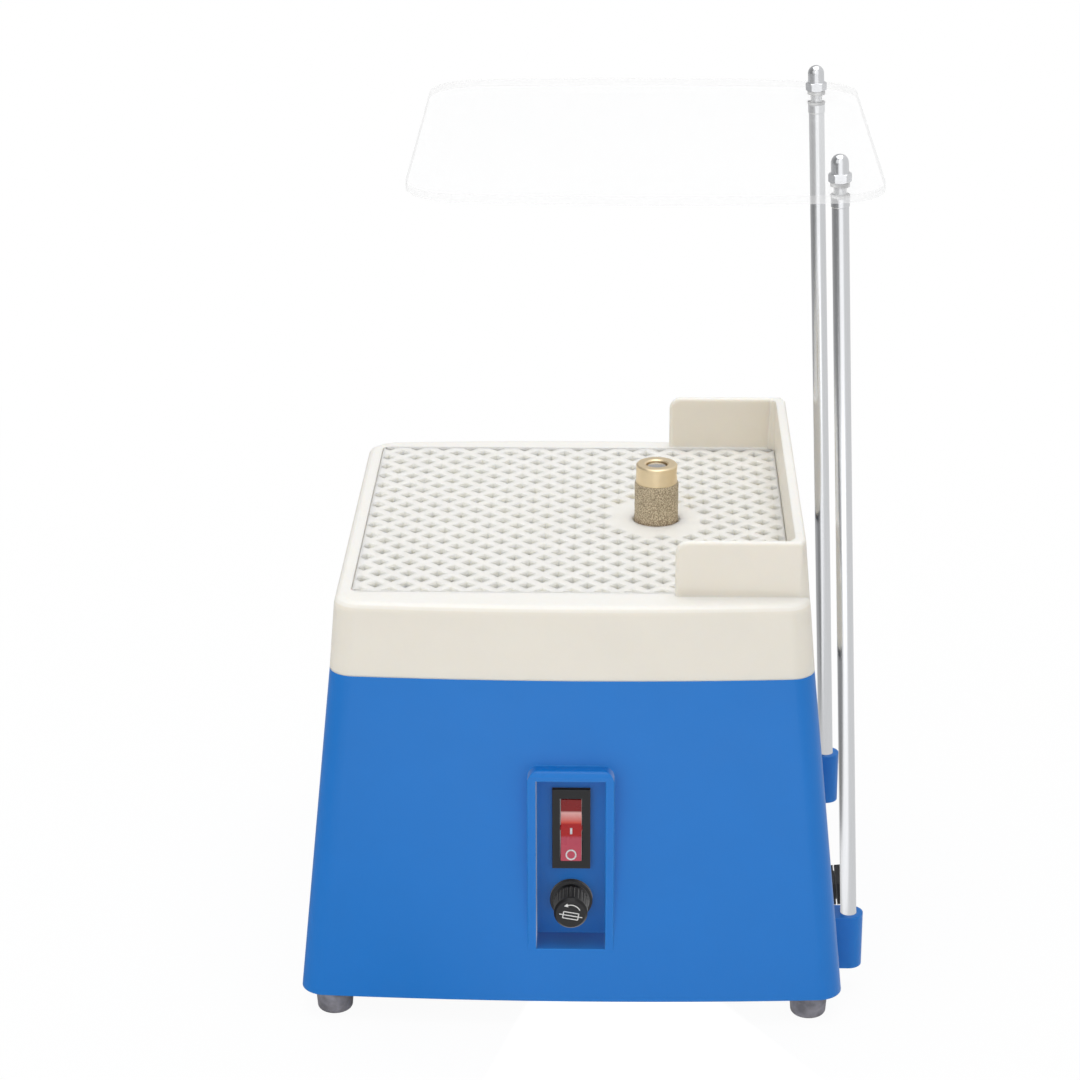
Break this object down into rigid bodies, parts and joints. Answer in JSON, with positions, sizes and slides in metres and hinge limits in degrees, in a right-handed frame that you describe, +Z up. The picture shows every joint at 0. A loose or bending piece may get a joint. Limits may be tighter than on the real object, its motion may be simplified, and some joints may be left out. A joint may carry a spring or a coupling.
{
  "type": "glass grinder",
  "caption": "Bench glass grinder with a lift-off water tray, perforated work grid, diamond bit on an upright motor shaft, rocker switch, fuse holder and a clear shield on two rods.",
  "frame": {"origin": "centre of the overall outline in plan, on the bench under the feet", "axes": "+Z up, -Y towards the user and the switch, +X to the right, where the shield's rods stand"},
  "size_m": [0.2102, 0.2074, 0.3232],
  "materials": {
    "blue_shell": "moulded, satin gloss",
    "cream_tray": "moulded, satin gloss",
    "white_grid": "moulded, satin",
    "zinc_plate": "zinc plated sheet",
    "screw_steel": "zinc plated",
    "black_rubber": "matt",
    "sponge_foam": "open foam",
    "ground_steel": "ground",
    "bit_brass": "turned, bright",
    "diamond_grit": "bonded diamond grit",
    "black_oxide": "black oxide",
    "cast_alloy": "die cast",
    "can_steel": "painted steel",
    "ferrite": "sintered",
    "lamination": "stacked sheet",
    "copper": "enamelled copper",
    "black_plastic": "moulded, matt",
    "brown_laminate": "phenolic",
    "carbon": "carbon",
    "spring_bronze": "spring strip",
    "red_rocker": "translucent red",
    "tinned": "tinned",
    "clear_glass": "clear",
    "green_board": "solder mask",
    "blue_sleeve": "shrink sleeve",
    "brass_hex": "machined",
    "white_nylon": "moulded",
    "brown_pvc": "PVC",
    "red_pvc": "PVC",
    "chrome_rod": "polished",
    "clear_sheet": "clear acrylic sheet",
    "soft_washer": "translucent"
  },
  "bodies": {
    "base": {"housing": "blue_shell", "shaft_collar": "white_nylon", "base_plate": "zinc_plate", "base_screws": "screw_steel", "feet": "black_rubber", "foot_screws": "screw_steel", "foot_nuts": "screw_steel", "shaft_seal": "black_rubber", "motor_flange": "cast_alloy", "motor_can": "can_steel", "motor_tail_cap": "cast_alloy", "field_magnets": "ferrite", "upper_bearing": "ground_steel", "lower_bearing": "ground_steel", "brush_ring": "brown_laminate", "carbon_brushes": "carbon", "brush_springs": "spring_bronze", "motor_grommets": "black_rubber", "motor_screws": "screw_steel", "switch_body": "black_plastic", "switch_terminals": "tinned", "fuse_holder": "black_plastic", "fuse_nut": "black_plastic", "fuse_terminals": "tinned", "control_board": "green_board", "bridge_rectifier": "black_plastic", "filter_capacitor": "blue_sleeve", "board_standoffs": "brass_hex", "board_screws": "screw_steel", "terminal_block": "white_nylon", "terminal_screws": "screw_steel", "mains_leads": "brown_pvc", "motor_leads": "red_pvc", "gland_body": "black_plastic", "gland_nut": "black_plastic", "gland_seal": "black_rubber", "gland_locknut": "black_plastic"},
    "rotor": {"spindle": "ground_steel", "slinger": "black_rubber", "armature_core": "lamination", "armature_windings": "copper", "commutator": "copper", "cooling_fan": "black_plastic"},
    "bit": {"bit_core": "bit_brass", "diamond_sleeve": "diamond_grit", "bit_set_screw": "black_oxide"},
    "tray": {"water_tray": "cream_tray", "sponge": "sponge_foam"},
    "grid": {"work_grid": "white_grid"},
    "rocker": {"switch_rocker": "red_rocker"},
    "fuse_link": {"fuse_glass": "clear_glass", "fuse_ends": "tinned"},
    "fuse_cap": {"fuse_cap": "black_plastic"},
    "shield_frame": {"shield_rods": "chrome_rod", "rod_collars": "chrome_rod", "shield_washers": "soft_washer", "shield": "clear_sheet", "cap_nuts": "chrome_rod"}
  },
  "joints": [
    {"name": "spindle_spin", "type": "hinge", "parent": "base", "child": "rotor", "pos_m": [0.02657, 0, 0.13], "axis": [0, 0, 1], "continuous": true},
    {"name": "bit_pull", "type": "slide", "parent": "rotor", "child": "bit", "axis": [0, 0, 1], "range_m": [0, 0.03]},
    {"name": "rocker_tilt", "type": "hinge", "parent": "base", "child": "rocker", "pos_m": [-0.00443, -0.08955, 0.0747], "axis": [1, 0, 0], "range_deg": [0, 18]},
    {"name": "fuse_pull", "type": "slide", "parent": "base", "child": "fuse_link", "axis": [0, -1, 0], "range_m": [0, 0.03]},
    {"name": "fuse_cap_turn", "type": "hinge", "parent": "fuse_link", "child": "fuse_cap", "pos_m": [-0.00443, -0.09, 0.0455], "axis": [0, -1, 0], "range_deg": [0, 45]},
    {"name": "tray_lift", "type": "slide", "parent": "base", "child": "tray", "axis": [0, 0, 1], "range_m": [0, 0.06]},
    {"name": "grid_lift", "type": "slide", "parent": "tray", "child": "grid", "axis": [0, 0, 1], "range_m": [0, 0.04]},
    {"name": "shield_lift", "type": "slide", "parent": "base", "child": "shield_frame", "axis": [-0.0433, 0, 0.9991], "range_m": [0, 0.017]}
  ]
}
